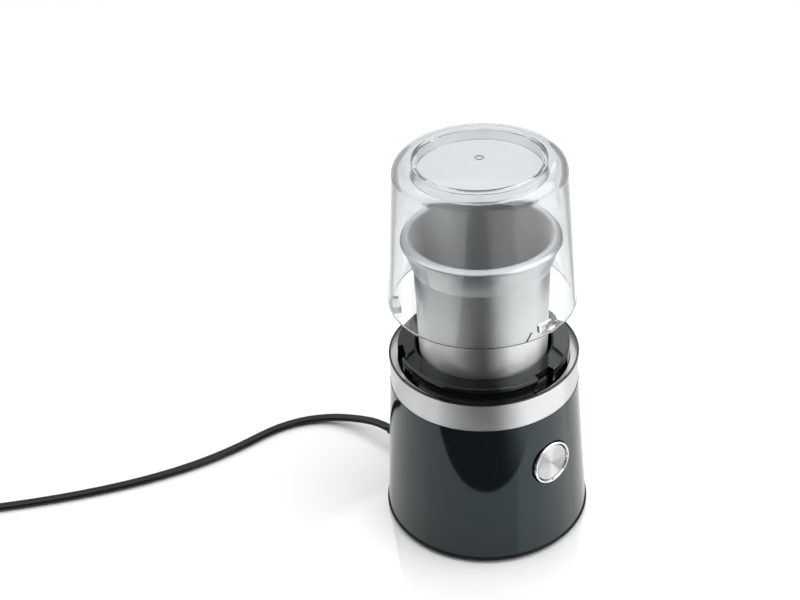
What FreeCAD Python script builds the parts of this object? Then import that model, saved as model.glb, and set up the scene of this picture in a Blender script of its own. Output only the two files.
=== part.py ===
"""Electric spice grinder with a removable steel cup, a clear bayonet lid and a push button.

The object stands on the plane z = 0 with its axis on Z. The button looks towards -Y and the cord
leaves at the back. The lid is drawn lifted off its seat by lid_lift, as it is when the grinder is opened.
Every sub-part is one STEP file in parts/. All sizes are in millimetres.
"""

import FreeCAD, Part
import math
import os

V = FreeCAD.Vector
ORIGIN = V(0, 0, 0)
UP = V(0, 0, 1)

# General clearances
slip = 0.3            # between faces of pieces that move past each other
fit = 0.05            # radial, a shaft in its bush
loose = 0.2           # between fixed pieces that are pushed together

# Housing
foot_height = 2.0
plate_lip = 1.6
housing_flare = 5.1   # foot's radius over the top's radius
housing_height = 81.7
housing_wall = 2.4
shelf_thickness = 2.6
boss_r = 3.2
boss_pilot_r = 1.3
boss_inset = 9.0      # from the housing's foot radius
boss_height = 18.0
boss_angles = (-90.0, 30.0, 150.0)

# Bottom plate and feet
plate_thickness = 3.0
plate_overhang = 0.7
spigot_height = 4.0
spigot_wall = 2.0
foot_r = 6.0
foot_inset = 12.5     # from the housing's foot radius
foot_recess = 1.2
foot_angles = (-30.0, 90.0, 210.0)
vent_width = 2.6
vent_count = 7
vent_pitch = 5.4
vent_half_length = 17.0
screw_head_r = 3.0
screw_head_height = 1.8

# Steel band and its edge trim
band_step = 0.3       # the housing's top radius over the band's
band_wall = 0.7
band_gap = 0.2
band_height = 16.1
ledge_depth = 2.3
ledge_width = 3.9
ledge_thickness = 0.6
trim_height = 0.9
trim_overhang = 0.25

# Deck, the black platform that holds the cup's well
deck_rise = 9.2
deck_wall = 2.5
deck_top_thickness = 3.0
deck_edge_round = 0.9
well_clearance = 0.8  # radial, round the cup's widest place
well_lip = 1.4
well_wall = 2.2
well_floor_thickness = 2.5
well_depth = 25.0
motor_post_r = 4.2
motor_post_circle = 31.0
deck_boss_r = 2.3
deck_boss_height = 9.0
deck_screw_r = 1.1

# Bayonet of the lid
lock_angles = (-87.0, 33.0, 153.0)
lock_turn = 18.0
lug_angle = 13.6
lug_gap_angle = 0.5
lug_height = 3.8
lug_rise = 0.8
finger_angle = 2.6

# Interlock ring and plunger
ring_wall = 3.7
ring_clearance = 1.1  # radial, between the ring and the well's tube
ring_height = 6.6
ring_rim = 1.0
plunger_travel = 1.5
plunger_angle = 63.0
plunger_r = 1.5
plunger_reach = 17.0
wedge_width = 1.4

# Cup
cup_upper_r = 35.0
cup_taper = 1.1       # radial, from the collar down to the floor
cup_mouth_flare = 0.3
cup_rim_width = 5.7
cup_depth = 77.0
cup_wall = 0.9
cup_corner_r = 8.0
collar_height = 16.4
foot_plate_inset = 2.9
foot_roof = 1.6       # the plastic foot above its pocket
pocket_gap = 0.6      # between the pocket and the driven coupling

# Blade set
spindle_r = 3.0
bush_wall = 2.0
blade_clearance = 6.0
blade_width = 11.0
blade_thickness = 1.6
blade_rise = 35.0
nut_across = 9.0
stud_r = 2.4

# Coupling between motor and blade
dog_root_r = 5.2
dog_tip_r = 8.4
dog_width = 4.0
dog_count = 4
driver_height = 6.0
driver_rise = 2.4     # above the well's floor
socket_wall = 2.6
socket_gap = 0.5      # under the socket's rim, above the driver's foot
socket_roof = 2.4

# Lid
lid_wall = 2.2
lid_edge_clearance = 0.5
lid_rim_clearance = 0.4
lid_headroom = 3.5
lid_shoulder_round = 7.8
lid_collar_inset = 1.7 # from the cup's mouth radius
lid_collar_wall = 2.2
lid_collar_drop = 6.0
lid_lift = 35.9
lid_seat_gap = 0.2

# Button, along its own axis square to the housing's cone
button_z = 56.0
button_r = 10.1
button_gap = 0.4      # radial, between cap and bezel
bezel_wall = 1.4
bezel_seat = 0.7      # the housing's hole over the bezel's radius
button_travel = 2.2
button_travel_room = 0.4
button_flange_depth = 5.4
button_collar_wall = 1.4
switch_depth = 7.4
spring_wire = 0.7
spring_r = 4.5
spring_turns = 4

# Motor
shaft_r = 2.5
lower_plate_gap = 3.6 # above the bottom plate
commutator_gap = 2.4  # above the lower bracket
stack_gap = 5.5       # above the commutator
stack_height = 24.0
stack_r = 31.0
stack_flat_inset = 3.2
bore_r = 16.3
air_gap = 0.5
shoe_wall = 2.2
yoke_wall = 6.2
coil_overhang = 7.0
slot_count = 12
slot_width = 2.4
slot_depth = 7.5
commutator_r = 9.0
commutator_height = 10.5
commutator_bars = 24
fan_r = 22.0
fan_height = 6.5
fan_blades = 9
bracket_thickness = 3.0
bolt_inset = 3.0
bolt_r = 1.6

# Cord, a flat twin lead, with its section lying flat
cord_width = 5.4
cord_height = 3.4
exit_angle = 97.5
exit_gap = 0.4        # from the bottom plate's edge up to the relief's shoulder
relief_length = 21.0
relief_r = 4.0
relief_end_r = 3.2
relief_flange = 0.9
relief_shoulder = 0.6
relief_lead = 9.0
cord_rest = 1.82
cord_route = [
    (-16.2, 99.6, 3.9),
    (-25.8, 115.2, 1.2),
    (-40.5, 125.6, 0.12),
    (-58.5, 130.3, 0.01),
    (-84.5, 130.2, 0.0),
    (-111.5, 133.4, 0.01),
    (-141.0, 141.5, 0.0),
    (-173.0, 154.5, 0.01),
    (-206.0, 171.5, 0.0),
    (-235.5, 189.5, 0.01),
]
coil_entry = (-262.4, 208.7, 0.0)
clamp_depth = 6.0
clamp_width = 18.0
clamp_hold = 4.0
clamp_screw_pitch = 12.8
clamp_screw_r = 1.2
coil_outer_r = 35.5
coil_pitch = 6.0
coil_layer = 3.9
coil_softness = 0.3
coil_turns = 4
tail_length = 16.0

# Plug
plug_width = 35.3
plug_thickness = 13.7
plug_depth = 36.0
plug_neck_width = 12.0
plug_neck_thickness = 8.5
pin_r = 2.0
pin_length = 19.0
pin_spacing = 18.0
sleeve_length = 10.0

# Radii that follow from the sizes above, from the cup outwards
cup_lower_r = cup_upper_r - cup_taper
cup_mouth_r = cup_upper_r + cup_mouth_flare
cup_rim_r = cup_mouth_r + cup_rim_width
foot_plate_r = cup_lower_r - foot_plate_inset
blade_span_r = cup_lower_r - cup_wall - blade_clearance
well_r = cup_upper_r + well_clearance
well_lip_r = well_r + well_lip
deck_r = well_r + well_wall + ring_clearance + ring_wall + loose + deck_wall
ring_outer_r = deck_r - deck_wall - loose
ring_inner_r = ring_outer_r - ring_wall
band_outer_r = deck_r + ledge_width + band_wall
trim_outer_r = band_outer_r + trim_overhang
housing_high_r = band_outer_r + band_step
housing_low_r = housing_high_r + housing_flare
plate_edge_r = housing_low_r + plate_overhang
boss_circle = housing_low_r - boss_inset
foot_circle = housing_low_r - foot_inset
lid_rim_r = band_outer_r - band_wall - lid_edge_clearance
lid_shoulder_r = cup_rim_r + lid_rim_clearance + lid_wall
lid_collar_r = cup_mouth_r - lid_collar_inset
socket_r = dog_tip_r + socket_wall
bezel_bore_r = button_r + button_gap
bezel_r = bezel_bore_r + bezel_wall
button_hole_r = bezel_r + bezel_seat
stack_flat = stack_r - stack_flat_inset
window_r = stack_r - yoke_wall
bolt_circle = stack_r - bolt_inset

# Heights and depths that follow, from the foot upwards
housing_low = foot_height + plate_lip
housing_high = housing_low + housing_height
exit_z = housing_low + exit_gap + relief_shoulder + relief_r
band_low = housing_high + band_gap
band_high = band_low + band_height
ledge_top = band_high - ledge_depth
deck_top = ledge_top + deck_rise
shelf_top = housing_high - 0.3
well_floor_top = deck_top - well_depth
well_floor_low = well_floor_top - well_floor_thickness
lower_plate_low = foot_height + plate_thickness + lower_plate_gap
commutator_low = lower_plate_low + bracket_thickness + commutator_gap
stack_low = commutator_low + commutator_height + stack_gap
stack_high = stack_low + stack_height
ring_top = deck_top - deck_top_thickness - slip - 0.6
ring_low = ring_top - ring_height
lid_seat = ledge_top + lid_seat_gap
lid_low = lid_seat + lid_lift
cup_low = well_floor_top + loose
driver_low = well_floor_top + driver_rise
socket_low = driver_low + socket_gap
socket_top = socket_low + driver_height + socket_roof
cup_floor_z = socket_top + pocket_gap + foot_roof
cup_top = cup_floor_z + cup_depth
lid_top_height = cup_top + lid_headroom + lid_wall - lid_seat
lid_side_height = lid_top_height - lid_shoulder_round
button_collar_depth = button_flange_depth + button_travel + button_travel_room
taper = (housing_low_r - housing_high_r) / housing_height
button_tilt = math.degrees(math.atan(taper))


def housing_r(z):
    """Outer radius of the housing's cone at height z."""
    return housing_low_r - (z - housing_low) * taper


def polar(radius, angle, z=0.0):
    return V(radius * math.cos(math.radians(angle)), radius * math.sin(math.radians(angle)), z)


def cyl(radius, z0, z1, x=0.0, y=0.0):
    return Part.makeCylinder(radius, z1 - z0, V(x, y, z0))


def tube(outer, inner, z0, z1, x=0.0, y=0.0):
    return cyl(outer, z0, z1, x, y).cut(cyl(inner, z0 - 1, z1 + 1, x, y))


def box(x0, x1, y0, y1, z0, z1):
    return Part.makeBox(x1 - x0, y1 - y0, z1 - z0, V(x0, y0, z0))


def turned(shape, angle):
    """A copy of the shape turned about the Z axis."""
    copy = shape.copy()
    copy.rotate(ORIGIN, UP, angle)
    return copy


def outline_edges(steps):
    """Edges through (r, z) steps in the XZ plane. A step of two points is an arc: its middle and its end."""
    edges = []
    here = steps[0]
    for step in steps[1:] + [steps[0]]:
        if isinstance(step[0], tuple):
            middle, end = step
            arc = Part.Arc(V(here[0], 0, here[1]), V(middle[0], 0, middle[1]), V(end[0], 0, end[1]))
            edges.append(arc.toShape())
            here = end
        elif abs(step[0] - here[0]) + abs(step[1] - here[1]) > 1e-6:
            edges.append(Part.LineSegment(V(here[0], 0, here[1]), V(step[0], 0, step[1])).toShape())
            here = step
    return edges


def turned_profile(steps, angle=360.0):
    """A solid of revolution about Z of the closed outline through the steps."""
    face = Part.Face(Part.Wire(outline_edges(steps)))
    return face.revolve(ORIGIN, UP, angle)


def sector(inner, outer, a0, a1, z0, z1):
    """A block between two radii and two angles."""
    block = turned_profile([(inner, z0), (outer, z0), (outer, z1), (inner, z1)], a1 - a0)
    return turned(block, a0)


def quarter_round(centre, radius, start, end):
    """An arc step for turned_profile about a centre, between two directions in degrees."""
    middle = math.radians((start + end) / 2)
    last = math.radians(end)
    return (
        (centre[0] + radius * math.cos(middle), centre[1] + radius * math.sin(middle)),
        (centre[0] + radius * math.cos(last), centre[1] + radius * math.sin(last)),
    )


def fused(shapes):
    whole = shapes[0].multiFuse(shapes[1:]) if len(shapes) > 1 else shapes[0]
    return whole.removeSplitter()


def prism(points, z0, z1):
    """A straight prism over a closed outline of (x, y) points."""
    corners = [V(x, y, z0) for x, y in points]
    face = Part.Face(Part.makePolygon(corners + [corners[0]]))
    return face.extrude(V(0, 0, z1 - z0))


def save(name, shape):
    solids = shape.Solids
    if not solids or not shape.isValid():
        raise ValueError(name + " is not a sound solid")
    whole = solids[0] if len(solids) == 1 else Part.makeCompound(solids)
    whole.exportStep(os.path.join("parts", name + ".step"))
    print(f"{name}: {len(solids)} solid(s), {whole.Volume / 1000:.2f} cm3")


def button_frame(shape):
    """Moves a shape drawn on Z, with z = 0 at the housing's surface, to the button's axis."""
    copy = shape.copy()
    copy.rotate(ORIGIN, V(1, 0, 0), 90.0 - button_tilt)
    copy.translate(V(0, -housing_r(button_z), button_z))
    return copy


def exit_frame(shape):
    """Moves a shape drawn on Z, with z = 0 on the object's axis, to the cord's exit axis."""
    copy = shape.copy()
    copy.rotate(ORIGIN, V(0, 1, 0), 90.0)
    copy.rotate(ORIGIN, UP, exit_angle)
    copy.translate(V(0, 0, exit_z))
    return copy


def housing():
    neck_r = band_outer_r - band_wall - 0.1
    neck_in = neck_r - 2.0
    shelf_low = shelf_top - shelf_thickness
    shelf_in = well_r + well_wall + loose
    shell = turned_profile([
        (housing_low_r, housing_low),
        (housing_high_r, housing_high),
        (neck_r, housing_high),
        (neck_r, ledge_top - ledge_thickness),
        (neck_in, ledge_top - ledge_thickness),
        (neck_in, shelf_top),
        (shelf_in, shelf_top),
        (shelf_in, shelf_low),
        (housing_r(shelf_low) - housing_wall, shelf_low),
        (housing_low_r - housing_wall, housing_low),
    ])
    low = housing_low + spigot_height + 0.4
    pieces = [shell]
    for angle in boss_angles:
        rib = box(boss_circle, housing_low_r - housing_wall + 0.1, -0.9, 0.9, low, low + boss_height)
        pieces.append(turned(rib, angle))
        centre = polar(boss_circle, angle)
        pieces.append(cyl(boss_r, low, low + boss_height, centre.x, centre.y))
    collar_r = button_hole_r + button_collar_wall
    pieces.append(button_frame(cyl(collar_r, -button_collar_depth, -2.2)))
    body = fused(pieces)
    for angle in boss_angles:
        centre = polar(boss_circle, angle)
        body = body.cut(cyl(boss_pilot_r, low - 1, low + boss_height - 3, centre.x, centre.y))
    for centre in deck_screw_places():
        body = body.cut(cyl(deck_screw_r + 0.4, shelf_low - 1, shelf_top + 1, centre.x, centre.y))
    centre = plunger_place()
    body = body.cut(cyl(plunger_r + slip, shelf_low - 1, shelf_top + 1, centre.x, centre.y))
    body = body.cut(button_frame(cyl(button_hole_r, -button_collar_depth - 1, 8)))
    return body.cut(exit_frame(cyl(relief_r, housing_r(exit_z) - 8, housing_r(exit_z) + 8)))


def deck_screw_places():
    """The deck's screws, midway between the lugs and midway between the well and the deck's skirt."""
    radius = (well_r + well_wall + deck_r - deck_wall) / 2
    return [polar(radius, angle + 60) for angle in lock_angles]


def motor_post_places():
    return [polar(motor_post_circle, 45 + 90 * index) for index in range(4)]


def plunger_place():
    """The plunger's axis, beside the well's wall and inside the retainer's rim."""
    return polar(ring_inner_r - 0.3 + plunger_r, plunger_angle)


def bottom_plate():
    top = foot_height + plate_thickness
    spigot_r = housing_low_r - housing_wall - loose
    lip_round = 0.5
    plate = turned_profile([
        (0, foot_height),
        (plate_edge_r - lip_round, foot_height),
        quarter_round((plate_edge_r - lip_round, foot_height + lip_round), lip_round, -90, 0),
        (plate_edge_r, housing_low - lip_round),
        quarter_round((plate_edge_r - lip_round, housing_low - lip_round), lip_round, 0, 90),
        (spigot_r, housing_low),
        (spigot_r - 0.3, housing_low + spigot_height),
        (spigot_r - spigot_wall, housing_low + spigot_height),
        (spigot_r - spigot_wall, top),
        (0, top),
    ])
    seat_high = housing_low + spigot_height + 0.2
    for angle in boss_angles:
        centre = polar(boss_circle, angle)
        plate = plate.fuse(cyl(boss_r + 1.0, top - 0.5, seat_high, centre.x, centre.y))
    cuts = []
    for angle in boss_angles:
        centre = polar(boss_circle, angle)
        cuts.append(cyl(1.8, 0, 20, centre.x, centre.y))
        cuts.append(cyl(screw_head_r + 0.4, 0, foot_height + screw_head_height + 0.4, centre.x, centre.y))
    for angle in foot_angles:
        centre = polar(foot_circle, angle)
        cuts.append(cyl(foot_r, foot_height - 1, foot_height + foot_recess, centre.x, centre.y))
    for index in range(vent_count):
        x = (index - (vent_count - 1) / 2) * vent_pitch
        half = math.sqrt(vent_half_length ** 2 - (x * 0.8) ** 2)
        slot = box(x - vent_width / 2, x + vent_width / 2, -half, half, 0, top + 1)
        cuts.append(slot)
        cuts.append(cyl(vent_width / 2, 0, top + 1, x, half))
        cuts.append(cyl(vent_width / 2, 0, top + 1, x, -half))
    side = relief_r + relief_flange + loose
    room = box(-side, side, spigot_r - 6, spigot_r + 2, exit_z - side, exit_z + side)
    cuts.append(turned(room, exit_angle - 90))
    for centre in clamp_screw_places():
        cuts.append(cyl(clamp_screw_r, top - 1.8, top + 1, centre.x, centre.y))
    return plate.cut(fused(cuts)).removeSplitter()


def rubber_feet():
    feet = []
    edge = 0.6
    for angle in foot_angles:
        foot = turned_profile([
            (0, 0),
            (foot_r - edge, 0),
            quarter_round((foot_r - edge, edge), edge, -90, 0),
            (foot_r, foot_height + foot_recess),
            (0, foot_height + foot_recess),
        ])
        foot.translate(polar(foot_circle, angle))
        feet.append(foot)
    return Part.makeCompound(feet)


def screw(head_r, head_height, shank_r, length):
    """A pan-head screw with its head's underside at z = 0, its shank above and a cross recess below."""
    body = turned_profile([
        (0, -head_height),
        (head_r * 0.6, -head_height),
        (head_r, -head_height * 0.45),
        (head_r, 0),
        (shank_r, 0),
        (shank_r, length - shank_r),
        (0.2, length),
        (0, length),
    ])
    arm = head_r * 0.5
    recess = fused([
        box(-arm, arm, -0.35, 0.35, -head_height - 1, -head_height * 0.5),
        box(-0.35, 0.35, -arm, arm, -head_height - 1, -head_height * 0.5),
    ])
    return body.cut(recess)


def placed(shape, x, y, z):
    copy = shape.copy()
    copy.translate(V(x, y, z))
    return copy


def bottom_screws():
    screws = []
    for angle in boss_angles:
        centre = polar(boss_circle, angle)
        under = foot_height + screw_head_height + 0.4
        one = screw(screw_head_r, screw_head_height, boss_pilot_r, 15.0)
        screws.append(placed(one, centre.x, centre.y, under))
    return Part.makeCompound(screws)


def steel_band():
    inner = band_outer_r - band_wall
    return turned_profile([
        (inner, band_low),
        (band_outer_r, band_low),
        (band_outer_r, band_high),
        (inner, band_high),
        (inner, ledge_top),
        (deck_r + slip, ledge_top),
        (deck_r + slip, ledge_top - ledge_thickness),
        (inner, ledge_top - ledge_thickness),
    ])


def rim_trim():
    inner = band_outer_r - band_wall - 0.1
    edge = 0.2
    top = band_high + trim_height
    return turned_profile([
        (inner, band_high),
        (trim_outer_r, band_high),
        (trim_outer_r, top - edge),
        quarter_round((trim_outer_r - edge, top - edge), edge, 0, 90),
        (inner + edge, top),
        quarter_round((inner + edge, top - edge), edge, 90, 180),
    ])


def channel_cut(angle):
    """The bayonet's way through the deck's skirt: an open entry, then a closed channel of lock_turn."""
    half = lug_angle / 2 + lug_gap_angle
    low = lid_seat + lug_rise - 0.7
    high = lid_seat + lug_rise + lug_height + 0.5
    inner = deck_r - deck_wall - 0.5
    entry = sector(inner, deck_r + 1, angle - half, angle + half, low, deck_top + 1)
    finger_room = finger_angle + 2 * lug_gap_angle
    end = angle + half + lock_turn + finger_room
    channel = sector(inner - 1, deck_r + 1, angle - half - finger_room, end, low, high)
    return [entry, channel]


def deck():
    skirt_in = deck_r - deck_wall
    tube_r = well_r + well_wall
    under_top = deck_top - deck_top_thickness
    lip = well_lip_r - well_r
    body = turned_profile([
        (deck_r, shelf_top),
        (deck_r, deck_top - deck_edge_round),
        quarter_round((deck_r - deck_edge_round, deck_top - deck_edge_round), deck_edge_round, 0, 90),
        (well_lip_r, deck_top),
        quarter_round((well_lip_r, deck_top - lip), lip, 90, 180),
        (well_r, well_floor_top + 2),
        quarter_round((well_r - 2, well_floor_top + 2), 2, 0, -90),
        (seal_r(), well_floor_top),
        (seal_r(), well_floor_low),
        (tube_r, well_floor_low),
        (tube_r, under_top),
        (skirt_in, under_top),
        (skirt_in, shelf_top),
    ])
    pieces = [body]
    for angle in lock_angles:
        web = box(tube_r - 0.4, skirt_in + 0.4, -0.8, 0.8, shelf_top, shelf_top + deck_boss_height)
        pieces.append(turned(web, angle + 60))
    for centre in deck_screw_places():
        pieces.append(cyl(deck_boss_r, shelf_top, shelf_top + deck_boss_height, centre.x, centre.y))
    for centre in motor_post_places():
        pieces.append(cyl(motor_post_r, upper_plate_top() + 1.0, well_floor_low + 0.5, centre.x, centre.y))
    whole = fused(pieces)
    cuts = []
    for angle in lock_angles:
        cuts += channel_cut(angle)
    for centre in deck_screw_places():
        cuts.append(cyl(deck_screw_r, shelf_top - 1, shelf_top + deck_boss_height - 1, centre.x, centre.y))
    for centre in motor_post_places():
        cuts.append(cyl(boss_pilot_r, upper_plate_top() - 1, well_floor_low + 0.6, centre.x, centre.y))
    return whole.cut(fused(cuts))


def deck_screws():
    screws = []
    length = shelf_thickness + deck_boss_height - 2.0
    for centre in deck_screw_places():
        one = screw(2.4, 1.6, deck_screw_r, length)
        screws.append(placed(one, centre.x, centre.y, shelf_top - shelf_thickness))
    return Part.makeCompound(screws)


def seal_r():
    return shaft_r + 4.0


def shaft_seal():
    """A rubber lip seal that closes the well's floor round the shaft."""
    bore = shaft_r + fit
    return turned_profile([
        (bore, well_floor_low + 0.4),
        (seal_r(), well_floor_low + 0.4),
        (seal_r(), well_floor_top + 0.4),
        (bore + 2.0, well_floor_top + 0.4),
        (bore + 0.6, well_floor_top + 1.6),
        (bore, well_floor_top + 1.6),
    ])


def retainer_top():
    return ring_low - 2.1


def ring_retainer():
    """A ring that carries the interlock ring on its raised rim and rests on the deck's screw bosses."""
    low = shelf_top + deck_boss_height
    top = retainer_top()
    rest = ring_low - slip / 3
    inner = well_r + well_wall + loose
    body = turned_profile([
        (inner, low),
        (ring_outer_r, low),
        (ring_outer_r, rest),
        (ring_outer_r - ring_rim, rest),
        (ring_outer_r - ring_rim, top),
        (inner, top),
    ])
    centre = plunger_place()
    return body.cut(cyl(plunger_r + slip, low - 1, rest + 1, centre.x, centre.y))


def interlock_ring():
    """The ring that the lid's lugs turn: two fingers at each lug, and a wedge that presses the plunger."""
    body = tube(ring_outer_r, ring_inner_r, ring_low, ring_top)
    pieces = [body]
    low = lid_seat + lug_rise
    high = low + lug_height - 0.4
    half = lug_angle / 2 + lug_gap_angle
    for angle in lock_angles:
        for start in (angle - half - finger_angle, angle + half):
            pieces.append(sector(ring_outer_r - 1, deck_r - 0.4, start, start + finger_angle, low, high))
    pieces.append(wedge())
    return fused(pieces)


def wedge():
    """A sloped block under the ring. Its slope passes over the plunger while the lid turns to its lock."""
    inner = ring_inner_r + 0.1
    half_run = plunger_place().Length * math.sin(math.radians(lock_turn / 2))
    lead = 2.6
    drop = plunger_travel * lead / (2 * half_run)
    outline = [
        V(inner, half_run + lead, ring_low + 0.5),
        V(inner, half_run + lead, ring_low - 0.2 + drop),
        V(inner, -half_run - lead, ring_low - 0.2 - plunger_travel - drop),
        V(inner, -half_run - lead, ring_low + 0.5),
    ]
    face = Part.Face(Part.makePolygon(outline + [outline[0]]))
    block = face.extrude(V(wedge_width, 0, 0))
    return turned(block, plunger_angle - lock_turn / 2)


def plunger_top():
    return ring_low - 0.2 - slip


def interlock_plunger():
    top = plunger_top()
    body = turned_profile([
        (0, top - plunger_reach),
        (plunger_r - 0.3, top - plunger_reach),
        (plunger_r, top - plunger_reach + 0.3),
        (plunger_r, top - 0.3),
        (plunger_r - 0.3, top),
        (0, top),
    ])
    centre = plunger_place()
    return placed(body, centre.x, centre.y, 0)


def microswitch(depth, shift=0.0):
    """A small snap switch with its front face at z = 0, two lugs, and its actuator's bore at the origin."""
    half_long = 9.0
    half_wide = 2.9
    body = box(shift - half_wide, shift + half_wide, -half_long, half_long, -depth, 0)
    for side in (-1, 1):
        hole = Part.makeCylinder(1.1, 4 * half_wide, V(-2 * half_wide, side * 6.0, -depth + 2.2), V(1, 0, 0))
        body = body.cut(hole)
    terminals = [box(-0.4, 0.4, y - 1.2, y + 1.2, -depth - 2.4, -depth) for y in (-5.5, 5.5)]
    whole = fused([body] + terminals)
    return whole.cut(cyl(1.3, -depth + 1.2, 1))


def interlock_switch():
    """The safety switch under the housing's shelf, with its bore on the plunger's line."""
    bore = cyl(plunger_r + 0.1, -switch_depth + 1.2, 1)
    body = turned(microswitch(switch_depth, 0.8).cut(bore), plunger_angle)
    centre = plunger_place()
    return placed(body, centre.x, centre.y, shelf_top - shelf_thickness)


def button_bezel():
    bezel = turned_profile([
        (bezel_r, -2.4),
        (bezel_r, 0.4),
        quarter_round((bezel_r - 0.6, 0.4), 0.6, 0, 90),
        (bezel_r - 0.9, 1.0),
        (bezel_bore_r + 0.1, 0.0),
        (bezel_bore_r, -0.5),
        (bezel_bore_r, -3.8),
        (bezel_bore_r + 1.0, -3.8),
        (bezel_bore_r + 1.0, -button_collar_depth),
        (button_hole_r - fit, -button_collar_depth),
        (button_hole_r - fit, -3.0),
    ])
    return button_frame(bezel)


def button_cap():
    rise = 0.35
    cap = turned_profile([
        (0, -1.6),
        (0, rise - 0.4),
        (button_r - 0.9, rise),
        (button_r - 0.35, rise),
        (button_r, rise - 0.35),
        (button_r, -3.6),
        (button_r - 0.8, -3.6),
        (button_r - 0.8, -1.6),
    ])
    return button_frame(cap)


def button_plunger():
    flange_r = bezel_bore_r + 0.7
    stem_end = -11.4
    body = turned_profile([
        (0, stem_end),
        (2.6, stem_end),
        (2.6, -button_flange_depth),
        (flange_r, -button_flange_depth),
        (flange_r, -4.0),
        (button_r - 0.8, -4.0),
        (button_r - 0.8, -1.6),
        (0, -1.6),
    ])
    return button_frame(body)


def switch_actuator():
    return button_frame(cyl(1.1, -17.2, -11.4))


def switch_carrier():
    """The cup behind the button that holds the spring and carries the switch."""
    outer = button_hole_r + button_collar_wall
    body = turned_profile([
        (6.0, -button_collar_depth),
        (outer, -button_collar_depth),
        (outer, -button_collar_depth - 1.6),
        (7.4, -button_collar_depth - 1.6),
        (7.4, -13.8),
        (3.4, -13.8),
        (3.4, -12.4),
        (6.0, -12.4),
    ])
    return button_frame(body)


def push_switch():
    return button_frame(placed(microswitch(switch_depth), 0, 0, -13.8))


def unit(vector):
    return vector * (1.0 / vector.Length)


def tangent_arc(start, corner, end):
    """The arc that leaves start towards corner and reaches end from corner, both the same distance away."""
    chord_middle = (start + end) * 0.5
    to_middle = chord_middle - corner
    leg = (start - corner).Length
    half_chord = (end - start).Length / 2
    if to_middle.Length < 1e-7:
        return Part.LineSegment(start, end)
    radius = leg * half_chord / to_middle.Length
    apex = corner + unit(to_middle) * (math.sqrt(radius ** 2 + leg ** 2) - radius)
    return Part.Arc(start, apex, end)


def biarc(p0, t0, p1, t1):
    """Two arcs with one tangent where they meet, from p0 along t0 to p1 along t1."""
    span = p1 - p0
    both = t0 + t1
    along = span.dot(both)
    bend = 2 * (1 - t0.dot(t1))
    if bend < 1e-9:
        reach = span.dot(span) / (2 * along)
    else:
        reach = (-along + math.sqrt(along ** 2 + bend * span.dot(span))) / bend
    q0 = p0 + t0 * reach
    q1 = p1 - t1 * reach
    middle = (q0 + q1) * 0.5
    return [tangent_arc(p0, q0, middle), tangent_arc(middle, q1, p1)]


def curve_edges(place, values):
    """Biarcs through the places of a curve at the given values, with its own tangents."""
    step = 1e-4
    points = [place(v) for v in values]
    ways = [unit(place(v + step) - place(v - step)) for v in values]
    edges = []
    for index in range(len(values) - 1):
        pieces = biarc(points[index], ways[index], points[index + 1], ways[index + 1])
        edges += [piece.toShape() for piece in pieces]
    return edges, points, ways


def piped(edges, section):
    shell = Part.Wire(edges).makePipeShell([section], True, False)
    if shell.Volume < 0:
        shell.reverse()
    return shell


def circle_section(centre, way, radius):
    return Part.Wire([Part.Circle(centre, way, radius).toShape()])


def least_gap(places, thickness, skip):
    """Least distance between two stretches of a line, less the thickness, over pairs more than skip apart."""
    best = 1e9
    for i in range(len(places)):
        for j in range(i + skip, len(places)):
            best = min(best, (places[i] - places[j]).Length)
    return best - thickness


def spring_place(turn):
    """A point of the button's spring, which rises evenly between the carrier and the plunger's flange."""
    low = -12.4 + spring_wire / 2
    high = -button_flange_depth - spring_wire / 2
    angle = 2 * math.pi * turn
    z = low + (high - low) * turn / spring_turns
    return V(spring_r * math.cos(angle), spring_r * math.sin(angle), z)


def button_spring():
    values = [index / 4 for index in range(spring_turns * 4 + 1)]
    edges, points, ways = curve_edges(spring_place, values)
    spring = piped(edges, circle_section(points[0], ways[0], spring_wire / 2))
    fine = [spring_place(spring_turns * index / 240.0) for index in range(241)]
    print(f"button_spring: least gap {least_gap(fine, spring_wire, 30):.2f} mm")
    return button_frame(spring)


def stator_core():
    outline = cyl(stack_r, stack_low, stack_high)
    keep = box(-stack_r - 1, stack_r + 1, -stack_flat, stack_flat, stack_low - 1, stack_high + 1)
    core = outline.common(keep)
    cuts = [cyl(bore_r, stack_low - 1, stack_high + 1)]
    for side in (0, 180):
        for start in (38, 121):
            end = side + start + 21
            cuts.append(sector(bore_r + shoe_wall, window_r, side + start, end, 0, stack_high + 9))
        gap = sector(bore_r - 1, window_r, side + 52 + 30, side + 98, 0, stack_high + 9)
        cuts.append(gap)
        x = bolt_circle * math.cos(math.radians(side))
        cuts.append(cyl(bolt_r + 0.1, 0, stack_high + 9, x, 0))
    return core.cut(fused(cuts))


def field_coils():
    """Two coils, each round one pole: sides through the core's windows, and ends bowed over the pole."""
    coils = []
    gap = 0.35
    inner = bore_r + shoe_wall + gap
    outer = window_r
    low = stack_low - coil_overhang
    high = stack_high + coil_overhang
    for side in (0, 180):
        whole = sector(inner, outer, side - 57.5, side + 57.5, low, high)
        pole = sector(inner - 1, outer + 1, side - 39.5, side + 39.5, stack_low - gap, stack_high + gap)
        coil = whole.cut(pole)
        coils.append(coil.makeFillet(1.2, long_arcs(coil, outer)))
    return Part.makeCompound(coils)


def long_arcs(shape, radius):
    """The outer curved edges of a winding, which are rounded."""
    found = []
    for edge in shape.Edges:
        curve = edge.Curve
        if isinstance(curve, Part.Circle) and abs(curve.Radius - radius) < 0.01 and edge.Length > 30:
            found.append(edge)
    return found


def upper_plate_top():
    return well_floor_low - 4.5


def upper_plate_low():
    return upper_plate_top() - bracket_thickness


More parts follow.
